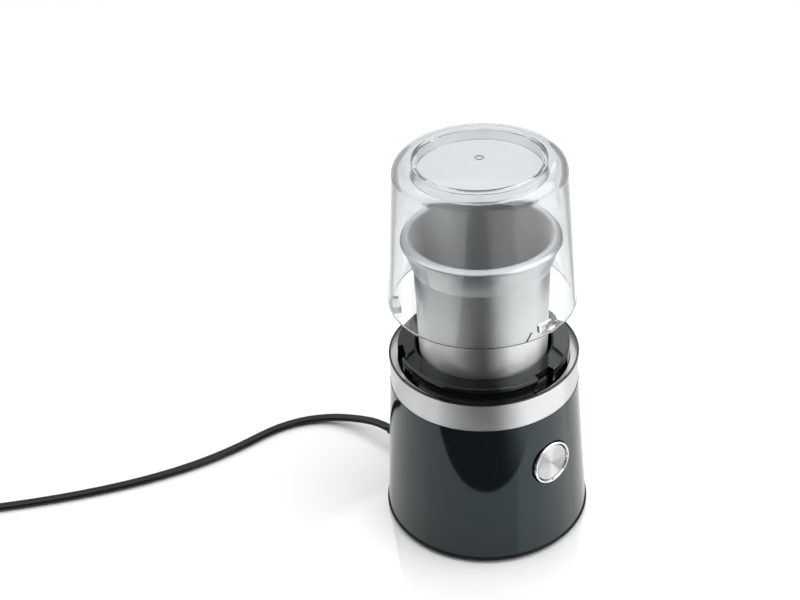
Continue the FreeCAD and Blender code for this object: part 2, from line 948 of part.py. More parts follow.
def upper_bracket():
    """The cast bridge over the motor: bearing seat, four rubber-mounted corners and two legs to the stack."""
    low = upper_plate_low()
    top = upper_plate_top()
    corner = motor_post_circle * math.cos(math.radians(45))
    half = corner + 7.0
    plate = box(-half, half, -half, half, low, top)
    plate = plate.makeFillet(6.5, [e for e in plate.Edges if abs(e.tangentAt(e.FirstParameter).z) > 0.9])
    pieces = [plate, cyl(8.5, low - 2.2, top)]
    for side in (-1, 1):
        x = side * (bolt_circle + 0.2)
        pieces.append(box(x - 2.7, x + 2.7, -5.5, 5.5, stack_high, top - 0.5))
    body = fused(pieces)
    cuts = [cyl(bearing_r(), low - 3, top + 1)]
    for centre in motor_post_places():
        cuts.append(cyl(grommet_neck_r(), low - 1, top + 1, centre.x, centre.y))
    for index in range(4):
        cuts.append(sector(11.5, 21.0, 90 * index - 24, 90 * index + 24, low - 1, top + 1))
    for side in (-1, 1):
        cuts.append(cyl(bolt_r, stack_high - 1, top + 1, side * bolt_circle, 0))
    return body.cut(fused(cuts))


def bearing_r():
    return shaft_r + 3.6


def grommet_neck_r():
    return 3.9


def bearing(z0, z1):
    return turned_profile([
        (shaft_r + fit, z0),
        (bearing_r(), z0),
        (bearing_r(), z1),
        (shaft_r + fit, z1),
    ])


def upper_bearing():
    return bearing(upper_plate_low() - 2.2, upper_plate_top() - 0.3)


def lower_bearing():
    return bearing(lower_plate_low - 1.2, lower_plate_low + bracket_thickness + 1.2)


def lower_bracket():
    """The moulded plate under the motor: lower bearing, two legs to the stack and the brush holders' pads."""
    low = lower_plate_low
    top = low + bracket_thickness
    disc = cyl(stack_r, low, top)
    keep = box(-stack_r - 1, stack_r + 1, -stack_flat + 1, stack_flat - 1, low - 1, top + 1)
    pieces = [disc.common(keep), cyl(bearing_r() + 2.4, low - 1.2, top + 1.2)]
    for side in (-1, 1):
        x = side * (bolt_circle + 0.2)
        leg = box(x - 2.7, x + 2.7, -5.5, 5.5, low, stack_low)
        pieces.append(leg.common(cyl(stack_r, low, stack_low)))
        y = side * 17.5
        pieces.append(box(-5.5, 5.5, y - 6.5, y + 6.5, top - 0.5, brush_z() - 3.2))
    body = fused(pieces)
    cuts = [cyl(bearing_r(), low - 3, top + 3)]
    for index in range(4):
        cuts.append(sector(12.5, 24.0, 45 + 90 * index - 16, 45 + 90 * index + 16, low - 1, top + 1))
    for side in (-1, 1):
        cuts.append(cyl(bolt_r, low - 1, stack_low + 1, side * bolt_circle, 0))
    return body.cut(fused(cuts))


def brush_z():
    return commutator_low + commutator_height * 0.5


def brush_holders():
    holders = []
    for side in (0, 180):
        outer = box(-4.2, 4.2, commutator_r + 1.6, 25.5, brush_z() - 3.2, brush_z() + 3.2)
        inner = box(-2.6, 2.6, commutator_r, 24.3, brush_z() - 2.1, brush_z() + 2.1)
        holders.append(turned(outer.cut(inner), side))
    return Part.makeCompound(holders)


def carbon_brushes():
    brushes = []
    for side in (0, 180):
        block = box(-2.5, 2.5, 0, 20.0, brush_z() - 2.0, brush_z() + 2.0)
        block = block.cut(cyl(commutator_r + fit, 0, 60))
        brushes.append(turned(block, side))
    return Part.makeCompound(brushes)


def motor_grommets():
    rubber = []
    low = upper_plate_low()
    top = upper_plate_top()
    for centre in motor_post_places():
        one = turned_profile([
            (1.5, low - 1.2),
            (5.4, low - 1.2),
            (5.4, low),
            (grommet_neck_r(), low),
            (grommet_neck_r(), top),
            (5.4, top),
            (5.4, top + 1.0),
            (1.5, top + 1.0),
        ])
        rubber.append(placed(one, centre.x, centre.y, 0))
    return Part.makeCompound(rubber)


def mount_screws():
    screws = []
    length = well_floor_low - upper_plate_low() + 1.2 - 0.6
    for centre in motor_post_places():
        one = screw(3.2, 1.8, boss_pilot_r, length)
        screws.append(placed(one, centre.x, centre.y, upper_plate_low() - 1.2))
    return Part.makeCompound(screws)


def motor_bolts():
    """Two long bolts from the lower bracket through the stack into the upper bracket."""
    bolts = []
    start = lower_plate_low
    for side in (-1, 1):
        one = screw(3.0, 2.0, bolt_r, upper_plate_top() - start)
        bolts.append(placed(one, side * bolt_circle, 0, start))
    return Part.makeCompound(bolts)


def motor_shaft():
    low = lower_plate_low - 1.6
    high = driver_low + driver_height - 0.6
    chamfer = 0.4
    return turned_profile([
        (0, low),
        (shaft_r - chamfer, low),
        (shaft_r, low + chamfer),
        (shaft_r, high - chamfer),
        (shaft_r - chamfer, high),
        (0, high),
    ])


def armature_core():
    """The slotted rotor stack."""
    radius = bore_r - air_gap
    low = stack_low + 1.0
    high = stack_high - 1.0
    core = tube(radius, shaft_r, low, high)
    slots = []
    for index in range(slot_count):
        slot = box(radius - slot_depth, radius - 1.2, -slot_width / 2, slot_width / 2, low - 1, high + 1)
        mouth = box(radius - 2, radius + 1, -0.7, 0.7, low - 1, high + 1)
        slots.append(turned(fused([slot, mouth]), index * 360.0 / slot_count))
    return core.cut(Part.makeCompound(slots))


def armature_windings():
    """The copper end turns above and below the rotor stack, drawn in towards the shaft."""
    radius = bore_r - air_gap - 1.6
    low = stack_low + 1.0
    high = stack_high - 1.0
    round_r = 2.2
    upper = turned_profile([
        (shaft_r + 1.5, high),
        (radius, high),
        (radius, high + 4.0 - round_r),
        quarter_round((radius - round_r, high + 4.0 - round_r), round_r, 0, 90),
        (shaft_r + 1.5, high + 5.0),
    ])
    base = commutator_low + commutator_height + 0.3
    lower = turned_profile([
        (shaft_r + 1.5, low),
        (shaft_r + 1.5, base),
        (commutator_r - 1.0, base),
        (radius, low - 3.0),
        (radius, low),
    ])
    return Part.makeCompound([upper, lower])


def commutator():
    low = commutator_low
    body = tube(commutator_r, shaft_r, low, low + commutator_height)
    grooves = []
    for index in range(commutator_bars):
        groove = box(commutator_r - 0.7, commutator_r + 1, -0.2, 0.2, low - 1, low + commutator_height + 1)
        grooves.append(turned(groove, index * 360.0 / commutator_bars))
    return body.cut(Part.makeCompound(grooves))


def fan_low():
    return stack_high + coil_overhang + 1.5


def cooling_fan():
    """A radial fan: a disc with upright curved blades and a hub."""
    low = fan_low()
    disc_t = 1.4
    pieces = [cyl(fan_r, low, low + disc_t), cyl(6.0, low, low + fan_height)]
    blade_t = 1.3
    for index in range(fan_blades):
        angle = index * 360.0 / fan_blades
        bend = 20.0
        centre = polar(bend, angle + 62.0)
        arc = tube(bend, bend - blade_t, low + disc_t - 0.2, low + fan_height, centre.x, centre.y)
        keep = sector(9.0, fan_r, angle - 2, angle + 50, low, low + fan_height + 1)
        pieces.append(arc.common(keep))
    body = fused(pieces)
    return body.cut(cyl(shaft_r, low - 1, low + fan_height + 1))


def star(root, tip, width, z0, z1):
    """A round core with straight dogs, as the coupling's driver and, larger, the socket in its mate."""
    pieces = [cyl(root, z0, z1)]
    for index in range(dog_count):
        pieces.append(turned(box(0, tip, -width / 2, width / 2, z0, z1), index * 360.0 / dog_count))
    return fused(pieces)


def drive_coupling():
    low = driver_low
    body = star(dog_root_r, dog_tip_r, dog_width, low, low + driver_height)
    edge = turned_profile([
        (0, low),
        (dog_tip_r + 1, low),
        (dog_tip_r + 1, low + driver_height - 2.2),
        (dog_tip_r - 1.6, low + driver_height),
        (0, low + driver_height),
    ])
    body = body.common(edge)
    return body.cut(cyl(shaft_r, low - 1, low + driver_height - 0.6))


def driven_coupling():
    low = socket_low
    top = socket_top
    body = turned_profile([
        (0, low),
        (socket_r, low),
        (socket_r, top - 1.2),
        (socket_r - 1.2, top),
        (0, top),
    ])
    pocket = star(dog_root_r + 0.5, dog_tip_r + 0.5, dog_width + 0.9, low - 1, low + driver_height)
    return body.cut(pocket).cut(cyl(spindle_r, top - 1.8, top + 1))


def collar_low():
    return cup_top - collar_height


def cup():
    """The drawn steel vessel: straight side, rounded corner, and a rolled mouth."""
    low = cup_floor_z
    corner = cup_corner_r
    inner_corner = corner - cup_wall
    side_r = cup_lower_r
    mouth = 1.6
    high = cup_top - mouth
    neck_r = cup_mouth_r - 0.35
    body = turned_profile([
        (spindle_r + bush_wall, low),
        (side_r - corner, low),
        quarter_round((side_r - corner, low + corner), corner, -90, 0),
        (cup_upper_r, collar_low() + 0.8),
        (neck_r + cup_wall, high - 4),
        (cup_mouth_r + cup_wall, high),
        (cup_mouth_r + mouth, cup_top),
        (cup_mouth_r + mouth - 0.6, cup_top),
        ((cup_mouth_r + 0.3, cup_top - 0.45), (cup_mouth_r, high)),
        (neck_r, high - 4),
        (cup_upper_r - cup_wall, collar_low() + 0.8),
        (side_r - cup_wall, low + corner),
        quarter_round((side_r - corner, low + corner), inner_corner, 0, -90),
        (spindle_r + bush_wall, low + cup_wall),
    ])
    return body


def cup_collar():
    """The flared steel collar round the mouth, with a flat rim, a rolled edge and a conical skirt."""
    low = collar_low()
    inner = cup_mouth_r + 1.6 + 0.05
    edge = 1.3
    rim_low = cup_top - 3.0
    return turned_profile([
        (cup_upper_r + 0.1, low),
        (cup_upper_r + 0.75, low),
        (cup_upper_r + 0.95, low + 0.7),
        ((cup_upper_r + 3.1, low + 7.2), (cup_rim_r - 1.6, rim_low)),
        (cup_rim_r - 0.5, rim_low + 0.2),
        ((cup_rim_r, rim_low + 1.5), (cup_rim_r - 0.5, cup_top - 0.5)),
        (cup_rim_r - edge, cup_top),
        (cup_rim_r - edge - 0.6, cup_top - 0.25),
        (cup_rim_r - edge - 1.2, cup_top),
        (inner, cup_top),
        (inner, cup_top - 0.6),
        (cup_upper_r + 0.95, cup_top - 4.5),
        (cup_upper_r + 0.1, low + 1.4),
    ])


def cup_foot():
    """The plastic base under the vessel, with the pocket for the driven coupling."""
    low = cup_low
    top = cup_floor_z
    pocket_r = socket_r + 1.0
    pocket_top = socket_top + pocket_gap
    edge = 1.5
    return turned_profile([
        (pocket_r, low),
        (foot_plate_r - edge, low),
        (foot_plate_r, low + edge),
        (foot_plate_r, top - 4.5),
        (side_foot_r(), top),
        (spindle_r + bush_wall, top),
        (spindle_r + bush_wall, pocket_top),
        (pocket_r, pocket_top),
    ])


def side_foot_r():
    return cup_lower_r - cup_corner_r


def cup_bush():
    low = socket_top + pocket_gap
    floor_top = cup_floor_z + cup_wall
    outer = spindle_r + bush_wall
    flange = outer + 3.2
    return turned_profile([
        (spindle_r + fit, low),
        (outer, low),
        (outer, floor_top),
        (flange, floor_top),
        (flange - 0.5, floor_top + 1.2),
        (spindle_r + fit, floor_top + 1.2),
    ])


def hub_low():
    return cup_floor_z + cup_wall + 1.2 + 0.4


def blade_low():
    return hub_low() + 2.6


def blade_spindle():
    low = socket_top - 1.8
    body = fused([
        cyl(spindle_r, low, blade_low()),
        tube(6.0, spindle_r - 0.1, hub_low(), blade_low()),
        cyl(stud_r, blade_low(), blade_low() + blade_thickness + 3.4),
    ])
    return body


def blade():
    """A two-armed blade: flat middle, swept sharpened arms and upturned tips."""
    low = blade_low()
    flat_end = 13.0
    half = blade_width / 2
    tip_half = 3.2
    arm = [
        (0, -half), (flat_end, -half + 0.6), (blade_span_r - 7, -tip_half - 0.6),
        (blade_span_r - 7, tip_half), (flat_end, half - 0.2), (0, half),
    ]
    flat = prism(arm, low, low + blade_thickness)
    bevel_tool = Part.makeBox(60, 6, 6, V(-5, 0, 0))
    bevel_tool.rotate(ORIGIN, V(1, 0, 0), 24)
    bevel_tool.translate(V(6, 1.8, low + 0.5))
    flat = flat.cut(bevel_tool)
    x = blade_span_r - 7
    root_face = Part.Face(Part.makePolygon([
        V(x, -tip_half - 0.6, low), V(x, tip_half, low), V(x, tip_half, low + blade_thickness),
        V(x, -tip_half - 0.6, low + blade_thickness), V(x, -tip_half - 0.6, low),
    ]))
    rise = math.radians(blade_rise)
    tip = root_face.extrude(V(6.5 * math.cos(rise), -1.0, 6.5 * math.sin(rise)))
    arm_solid = fused([flat, tip])
    other = turned(arm_solid, 180)
    middle = cyl(half + 0.6, low, low + blade_thickness)
    body = fused([arm_solid, other, middle])
    return body.cut(cyl(stud_r, low - 1, low + 4))


def blade_nut():
    """A domed hexagon nut."""
    low = blade_low() + blade_thickness
    radius = nut_across / 2 / math.cos(math.radians(30))
    turns = [math.radians(60 * index) for index in range(6)]
    corners = [(radius * math.cos(turn), radius * math.sin(turn)) for turn in turns]
    flat = nut_across / 2 - 0.3
    dome = turned_profile([
        (0, low),
        (radius + 1.0, low),
        (radius + 1.0, low + 2.6),
        (flat, low + 4.0),
        (flat - 0.3, low + 4.0),
        (flat - 0.3, low + 4.2),
        ((2.6, low + 5.2), (0.8, low + 5.7)),
        (0, low + 5.7),
    ])
    body = prism(corners, low, low + 6.0).common(dome)
    return body.cut(cyl(stud_r, low - 1, low + 3.4))


def lid_profile_arc(radius, start, end):
    centre = (lid_shoulder_r - lid_shoulder_round, lid_low + lid_side_height)
    return quarter_round(centre, radius, start, end)


def lid():
    """The clear lid: tapered side, rounded shoulder, flat top, inner collar and three inner lugs."""
    low = lid_low
    side = low + lid_side_height
    top = low + lid_top_height
    inner_top = top - lid_wall
    rim_in = lid_rim_r - lid_wall
    shoulder_in = lid_shoulder_r - lid_wall
    collar_in = lid_collar_r - lid_collar_wall
    collar_low_z = inner_top - lid_collar_drop
    step = 0.35
    edge = 0.5
    shell = turned_profile([
        (rim_in + edge, low),
        (lid_rim_r - edge, low),
        quarter_round((lid_rim_r - edge, low + edge), edge, -90, 0),
        (lid_shoulder_r, side),
        lid_profile_arc(lid_shoulder_round, 0, 90),
        (lid_collar_r - 0.2, top),
        (lid_collar_r - 0.6, top - step),
        (2.4, top - step),
        (2.1, top - step - 0.3),
        (1.7, top - step - 0.3),
        (1.4, top - step),
        (0, top - step),
        (0, inner_top),
        (collar_in, inner_top),
        (collar_in, collar_low_z + edge),
        (collar_in + edge, collar_low_z),
        (lid_collar_r - edge, collar_low_z),
        (lid_collar_r, collar_low_z + edge),
        (lid_collar_r, inner_top),
        (lid_shoulder_r - lid_shoulder_round, inner_top),
        lid_profile_arc(lid_shoulder_round - lid_wall, 90, 0),
        (shoulder_in, side),
        (rim_in, low + edge),
    ])
    pieces = [shell]
    lug_low = low + lug_rise
    lug_high = lug_low + lug_height
    for angle in lock_angles:
        half = lug_angle / 2
        pieces.append(sector(lug_tip_r(), rim_in + 0.8, angle - half, angle + half, lug_low, lug_high))
    return fused(pieces)


def lug_tip_r():
    return deck_r - deck_wall + slip


def exit_direction():
    return polar(1.0, exit_angle)


def relief_end():
    end = exit_direction() * (housing_r(exit_z) + relief_length)
    return V(end.x, end.y, exit_z)


def cord_relief():
    """The tapered rubber sleeve at the cord's exit: an inner flange, a groove for the wall, grooves."""
    shoulder_low = exit_z - relief_r - relief_shoulder
    wall_out = max(housing_r(exit_z) + 0.3, housing_r(shoulder_low) + 0.01)
    wall_in = housing_r(exit_z) - housing_wall - 0.9
    end = housing_r(exit_z) + relief_length
    steps = [
        (0, wall_in - 2.0),
        (relief_r + relief_flange, wall_in - 2.0),
        (relief_r + relief_flange, wall_in),
        (relief_r, wall_in),
        (relief_r, wall_out),
        (relief_r + relief_shoulder, wall_out),
        (relief_r + relief_shoulder, wall_out + 1.0),
        (relief_r, wall_out + 1.6),
    ]
    ribs = 5
    pitch = (end - wall_out - 5.0) / ribs
    for index in range(ribs):
        z = wall_out + 3.0 + index * pitch
        radius = relief_r + (relief_end_r - relief_r) * (z - wall_out) / relief_length
        steps += [(radius, z), (radius - 0.8, z + 0.2), (radius - 0.8, z + 1.0), (radius - 0.1, z + 1.2)]
    steps += [(relief_end_r, end - 0.6), (relief_end_r - 0.4, end), (0, end)]
    return exit_frame(turned_profile(steps))


def clamp_middle():
    """Distance of the cord clamp's middle from the object's axis."""
    return housing_r(exit_z) - housing_wall - 10.0


def clamp_screw_places():
    places = []
    for side in (-1, 1):
        place = V(clamp_middle(), side * clamp_screw_pitch / 2, 0)
        places.append(turned(Part.Vertex(place), exit_angle).Point)
    return places


def cord_clamp():
    """The bridge inside that grips the cord, screwed to the bottom plate."""
    mid = clamp_middle()
    half = clamp_depth / 2
    low = foot_height + plate_thickness
    bridge = box(mid - half, mid + half, -clamp_width / 2, clamp_width / 2, low, exit_z + clamp_hold)
    up = cord_height / 2
    way = box(mid - half - 1, mid + half + 1, -cord_width / 2, cord_width / 2, exit_z - up, exit_z + up)
    body = turned(bridge.cut(way), exit_angle)
    holes = [cyl(clamp_screw_r, low - 1, exit_z + 5, centre.x, centre.y) for centre in clamp_screw_places()]
    return body.cut(fused(holes))


def clamp_screws():
    screws = []
    top = exit_z + clamp_hold
    for centre in clamp_screw_places():
        one = screw(2.2, 1.5, clamp_screw_r, top - foot_height - plate_thickness + 1.6)
        one.rotate(ORIGIN, V(1, 0, 0), 180)
        screws.append(placed(one, centre.x, centre.y, top))
    return Part.makeCompound(screws)


def inner_cord():
    """The short end of the cord inside the housing, from the sleeve to the clamp."""
    start = housing_r(exit_z) - housing_wall - 0.9 - 2.0
    end = start - 12.0
    piece = flat_bar(cord_width - 0.2, cord_height - 0.1, end, start)
    return exit_frame(piece)


def flat_bar(width, height, z0, z1):
    """A straight length of flat cord along Z, its width across Y."""
    half = (width - height) / 2
    section = Part.Wire(stadium(V(0, 0, z0), V(0, 1, 0), V(1, 0, 0), half, height / 2))
    return Part.Face(section).extrude(V(0, 0, z1 - z0))


def stadium(centre, across, up, half, radius):
    """The edges of a flat section: two straight sides and two half rounds."""
    a = centre + across * half + up * radius
    b = centre - across * half + up * radius
    c = centre - across * half - up * radius
    d = centre + across * half - up * radius
    left = centre - across * (half + radius)
    right = centre + across * (half + radius)
    return [
        Part.LineSegment(a, b).toShape(),
        Part.Arc(b, left, c).toShape(),
        Part.LineSegment(c, d).toShape(),
        Part.Arc(d, right, a).toShape(),
    ]


def flat_section(centre, way):
    across = unit(UP.cross(way))
    up = unit(way.cross(across))
    half = (cord_width - cord_height) / 2
    return Part.Wire(stadium(centre, across, up, half, cord_height / 2))


def route_points():
    """The corners of the cord's free stretch, from the sleeve's end to the coil."""
    corners = [relief_end(), relief_end() + exit_direction() * relief_lead]
    for x, y, lift in cord_route + [coil_entry]:
        corners.append(V(x, y, cord_rest + lift))
    return corners


def rounded_route(points):
    """Straight runs joined by tangent arcs, each as large as 0.45 of its shorter run allows."""
    edges = []
    radii = []
    here = points[0]
    for index in range(1, len(points) - 1):
        before = points[index] - points[index - 1]
        after = points[index + 1] - points[index]
        leg = 0.45 * min(before.Length, after.Length)
        start = points[index] - unit(before) * leg
        end = points[index] + unit(after) * leg
        half_turn = before.getAngle(after) / 2
        radii.append(leg / math.tan(half_turn))
        edges.append(Part.LineSegment(here, start).toShape())
        edges.append(tangent_arc(start, points[index], end).toShape())
        here = end
    edges.append(Part.LineSegment(here, points[-1]).toShape())
    length = sum(edge.Length for edge in edges)
    return edges, radii, length


def cord():
    edges, radii, length = rounded_route(route_points())
    way = unit(route_points()[1] - route_points()[0])
    section = flat_section(relief_end(), way)
    area = Part.Face(section).Area
    body = piped(edges, section)
    print("cord radii:", " ".join(f"{radius:.0f}" for radius in radii))
    print(f"cord length {length:.1f}, volume over section times length {body.Volume / area / length:.4f}")
    return body


def coil_numbers():
    """The coil's centre, first and last angle, and middle radius, from the way in which the cord arrives."""
    points = route_points()
    way = unit(points[-1] - points[-2])
    way = unit(V(way.x, way.y, 0))
    rate = coil_pitch / (2 * math.pi)
    lean = math.atan(rate / coil_outer_r)
    first = math.atan2(way.y, way.x) - math.pi / 2 - lean
    last = math.pi + lean
    while last - first < 2 * math.pi * coil_turns:
        last += 2 * math.pi
    half = (last - first) / 2
    middle_r = coil_outer_r - rate * (math.sqrt(half ** 2 + coil_softness ** 2) - coil_softness)
    entry = points[-1]
    centre = V(entry.x - coil_outer_r * math.cos(first), entry.y - coil_outer_r * math.sin(first), 0)
    return centre, first, last, middle_r, rate


def coil_place(angle):
    """A point of the coil: in towards the middle on the first layer, and out again on the second."""
    centre, first, last, middle_r, rate = coil_numbers()
    middle = (first + last) / 2
    radius = middle_r + rate * (math.sqrt((angle - middle) ** 2 + coil_softness ** 2) - coil_softness)
    share = min(max((angle - middle) / math.pi + 0.5, 0.0), 1.0)
    rise = share - math.sin(2 * math.pi * share) / (2 * math.pi)
    x = centre.x + radius * math.cos(angle)
    y = centre.y + radius * math.sin(angle)
    return V(x, y, cord_rest + coil_layer * rise)


def coil_end():
    """Where the coil's tail ends, at the plug's sleeve."""
    last = coil_numbers()[2]
    place = coil_place(last)
    return V(place.x, place.y - tail_length - cord_width, plug_thickness / 2)


def cord_coil():
    first, last, middle_r = coil_numbers()[1:4]
    quarters = round((last - first) / (math.pi / 2))
    values = [first + (last - first) * index / quarters for index in range(quarters + 1)]
    edges, points, ways = curve_edges(coil_place, values)
    tail_start = points[-1]
    tail_end = V(tail_start.x, tail_start.y - tail_length, plug_thickness / 2)
    tail = biarc(tail_start, ways[-1], tail_end, V(0, -1, 0))
    edges += [piece.toShape() for piece in tail]
    edges.append(Part.LineSegment(tail_end, coil_end()).toShape())
    section = flat_section(points[0], ways[0])
    body = piped(edges, section)
    area = Part.Face(section).Area
    length = sum(edge.Length for edge in edges)
    count = 900
    fine = [coil_place(first + (last - first) * index / count) for index in range(count + 1)]
    print(f"coil length {length:.0f}, volume ratio {body.Volume / area / length:.4f}")
    print(f"coil inner radius {middle_r:.1f}")
    print(f"coil least gap {flat_gap(fine, round(count / 6)):.2f} mm")
    return body


def flat_gap(places, skip):
    """Least gap between stretches of flat cord: between their flat cores, less the cord's height."""
    core = (cord_width - cord_height) / 2
    best = 1e9
    for i in range(0, len(places), 2):
        for j in range(i + skip, len(places), 2):
            flat = math.hypot(places[i].x - places[j].x, places[i].y - places[j].y)
            rise = places[i].z - places[j].z
            best = min(best, math.hypot(max(flat - 2 * core, 0.0), rise) - cord_height)
    return best


def hexagon_wire(width, thickness, y, chamfer_share):
    """A flat plug section at y: a rectangle whose short sides come to a blunt point."""
    half = width / 2
    high = thickness / 2
    cut = high * chamfer_share
    blunt = high * 0.3
    points = [
        V(-half + cut, y, high), V(half - cut, y, high), V(half, y, blunt), V(half, y, -blunt),
        V(half - cut, y, -high), V(-half + cut, y, -high), V(-half, y, -blunt), V(-half, y, blunt),
    ]
    return Part.makePolygon(points + [points[0]])


def plug_body():
    """A flat two-pin plug with its moulded sleeve, drawn along -Y and set at the cord's end."""
    start = 0.0
    sleeve = 20.0
    sections = [
        hexagon_wire(plug_neck_width, plug_neck_thickness, -sleeve, 0.6),
        hexagon_wire(plug_width - 9, plug_thickness - 2.5, -sleeve - 12, 0.6),
        hexagon_wire(plug_width - 6, plug_thickness - 1.0, -sleeve - 20, 0.6),
        hexagon_wire(plug_width, plug_thickness, -sleeve - plug_depth + 5, 0.6),
        hexagon_wire(plug_width, plug_thickness, -sleeve - plug_depth, 0.6),
    ]
    body = Part.makeLoft(sections, True, True)
    steps = [(0, start), (relief_end_r - 0.4, start), (relief_end_r, start + 0.6)]
    ribs = 5
    for index in range(ribs):
        z = start + 2.0 + index * 3.5
        radius = relief_end_r + index * 0.22
        steps += [(radius, z), (radius - 0.7, z + 0.2), (radius - 0.7, z + 1.2), (radius + 0.1, z + 1.4)]
    steps += [(relief_end_r + 1.0, sleeve + 0.5), (0, sleeve + 0.5)]
    sleeve_solid = turned_profile(steps)
    sleeve_solid.rotate(ORIGIN, V(1, 0, 0), 90)
    whole = fused([body, sleeve_solid])
    end = coil_end()
    face_y = -sleeve - plug_depth
    holes = []
    for side in (-1, 1):
        holes.append(Part.makeCylinder(pin_r, 6.0, V(side * pin_spacing / 2, face_y + 5.0, 0), V(0, -1, 0)))
    whole = whole.cut(Part.makeCompound(holes))
    return placed(whole, end.x, end.y, end.z)


def pin_place(side):
    end = coil_end()
    return V(end.x + side * pin_spacing / 2, end.y - 20.0 - plug_depth, end.z)


def plug_pins():
    """Two round pins, thinner where their sleeves sit."""
    pins = []
    for side in (-1, 1):
        pin = turned_profile([
            (0, -5.0),
            (pin_r, -5.0),
            (pin_r, 0),
            (pin_r - 0.5, 0),
            (pin_r - 0.5, sleeve_length),
            (pin_r, sleeve_length),
            (pin_r, pin_length - 1.2),
            quarter_round((pin_r - 1.2, pin_length - 1.2), 1.2, 0, 90),
            (0, pin_length),
        ])
        pin.rotate(ORIGIN, V(1, 0, 0), 90)
        pin.translate(pin_place(side))
        pins.append(pin)
    return Part.makeCompound(pins)


def pin_sleeves():
    sleeves = []
    for side in (-1, 1):
        sleeve = tube(pin_r, pin_r - 0.5, 0, sleeve_length)
        sleeve.rotate(ORIGIN, V(1, 0, 0), 90)
        sleeve.translate(pin_place(side))
        sleeves.append(sleeve)
    return Part.makeCompound(sleeves)


def main():
    os.makedirs("parts", exist_ok=True)
    makers = [
        housing, bottom_plate, rubber_feet, bottom_screws, steel_band, rim_trim, deck, deck_screws,
        shaft_seal, ring_retainer, interlock_ring, interlock_plunger, interlock_switch, button_bezel,
        button_cap, button_plunger, switch_actuator, switch_carrier, push_switch, button_spring,
        stator_core, field_coils, upper_bracket, lower_bracket, upper_bearing, lower_bearing,
        brush_holders, carbon_brushes, motor_grommets, mount_screws, motor_bolts, motor_shaft,
        armature_core, armature_windings, commutator, cooling_fan, drive_coupling, driven_coupling,
        cup, cup_collar, cup_foot, cup_bush, blade_spindle, blade, blade_nut, lid,
        cord_relief, cord_clamp, clamp_screws, inner_cord, cord, cord_coil, plug_body, plug_pins,
        pin_sleeves,
    ]
    for maker in makers:
        save(maker.__name__, maker())


main()
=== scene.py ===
import math

import bmesh
import bpy
from mathutils import Matrix, Vector


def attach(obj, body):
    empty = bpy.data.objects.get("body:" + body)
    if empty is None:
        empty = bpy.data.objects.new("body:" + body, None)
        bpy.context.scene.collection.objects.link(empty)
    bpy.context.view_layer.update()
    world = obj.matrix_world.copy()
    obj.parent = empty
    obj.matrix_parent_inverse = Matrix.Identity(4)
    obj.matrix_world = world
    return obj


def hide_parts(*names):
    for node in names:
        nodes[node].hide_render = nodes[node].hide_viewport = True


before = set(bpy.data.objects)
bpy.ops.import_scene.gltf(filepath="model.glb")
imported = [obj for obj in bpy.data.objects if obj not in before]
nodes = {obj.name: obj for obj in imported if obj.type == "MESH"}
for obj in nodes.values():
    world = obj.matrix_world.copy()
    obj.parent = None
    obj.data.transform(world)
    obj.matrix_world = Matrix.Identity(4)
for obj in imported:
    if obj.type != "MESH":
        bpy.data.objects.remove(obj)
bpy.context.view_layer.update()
mm = 0.001

# Camera: where it stands, its heading, how far it looks down and its roll in degrees, and its lens
camera_place = (-0.3981, -0.4597, 0.5313)
camera_turn = -36.87
camera_down = 33.12
camera_roll = -3.48
camera_lens = 63.0
camera_sensor = 36.0
camera_range = (0.01, 50.0)

# Cord, with its corners from the sleeve's end to the coil, in millimetres
cord_width = 5.4
cord_height = 3.4
cord_valley = 0.84    # height between the two cores, as a share of theirs
cord_rest = 1.82      # height of the cord's middle where it lies on the table
relief_end = (-9.944, 75.536, 8.6)
cord_corners = [
    (-11.119, 84.459, 8.6),
    (-16.2, 99.6, cord_rest + 3.9),
    (-25.8, 115.2, cord_rest + 1.2),
    (-40.5, 125.6, cord_rest + 0.12),
    (-58.5, 130.3, cord_rest),
    (-84.5, 130.2, cord_rest),
    (-111.5, 133.4, cord_rest),
    (-141.0, 141.5, cord_rest),
    (-173.0, 154.5, cord_rest),
    (-206.0, 171.5, cord_rest),
    (-235.5, 189.5, cord_rest),
]
coil_entry = (-262.4, 208.7, cord_rest)
coil_outer_r = 35.5
coil_pitch = 6.0
coil_layer = 3.9
coil_softness = 0.3
coil_turns = 4
points_per_turn = 16
tail_length = 16.0
plug_middle = 6.85

# Housing's cone, button and lid, in metres
housing_low_r = 0.0555
housing_high_r = 0.0504
housing_height = 0.0817
button_centre = (0.0, -0.05223, 0.056)
button_tilt = math.atan((housing_low_r - housing_high_r) / housing_height)
lid_low = 0.1354
lid_side_height = 0.0724
lid_rim_r = 0.0489
lid_shoulder_r = 0.0436

# Printed mark by the lid's rim: an angle in degrees and a height over the rim for each end
mark_low = (-105.3, 0.0006)
mark_high = (-101.8, 0.0051)
mark_half_width = 0.0005
mark_proud = 0.00012
mark_steps = 6

# Surface detail
noise_low = 0.3          # most values of a noise lie between these two
noise_high = 0.7
brush_marks = 2600.0
quarter_turn = 0.25      # lays the anisotropy across the brush marks
facing_blend = 0.006     # from a vessel's inner to its outer roughness, in metres

